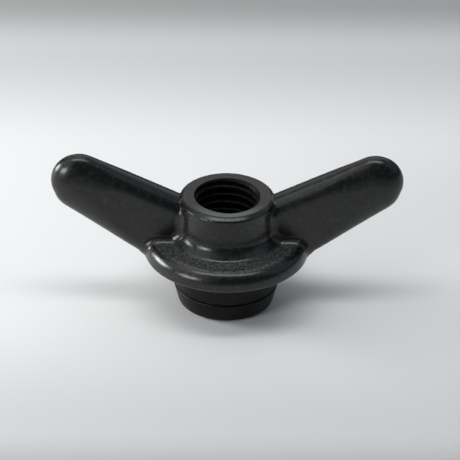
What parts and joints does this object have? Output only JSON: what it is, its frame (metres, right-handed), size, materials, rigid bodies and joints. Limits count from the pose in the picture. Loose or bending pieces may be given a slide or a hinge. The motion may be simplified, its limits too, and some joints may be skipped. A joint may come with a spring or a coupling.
{
  "type": "wing nut",
  "caption": "Black wing nut with a coarse internal thread, round-ended wings, a domed collar and a tapered swivelling foot ring.",
  "frame": {"origin": "centre of the foot ring's flat underside, on the thread's axis", "axes": "+Z along the thread's axis, from the foot to the hub's top; the wings lie along X"},
  "size_m": [0.0806, 0.0378, 0.038],
  "materials": {
    "moulding": "satin black moulded plastic with a fine mottled grain",
    "insert": "blackened steel with a cut thread",
    "spring": "drawn spring steel wire",
    "foot": "black moulded plastic, slightly duller than the body"
  },
  "bodies": {
    "nut": {"wing_body": "moulding", "threaded_insert": "insert", "snap_ring": "spring"},
    "foot": {"foot_ring": "foot"}
  },
  "joints": [
    {"name": "foot_swivel", "type": "hinge", "parent": "nut", "child": "foot", "pos_m": [0, 0, 0.003], "axis": [0, 0, 1], "continuous": true}
  ]
}
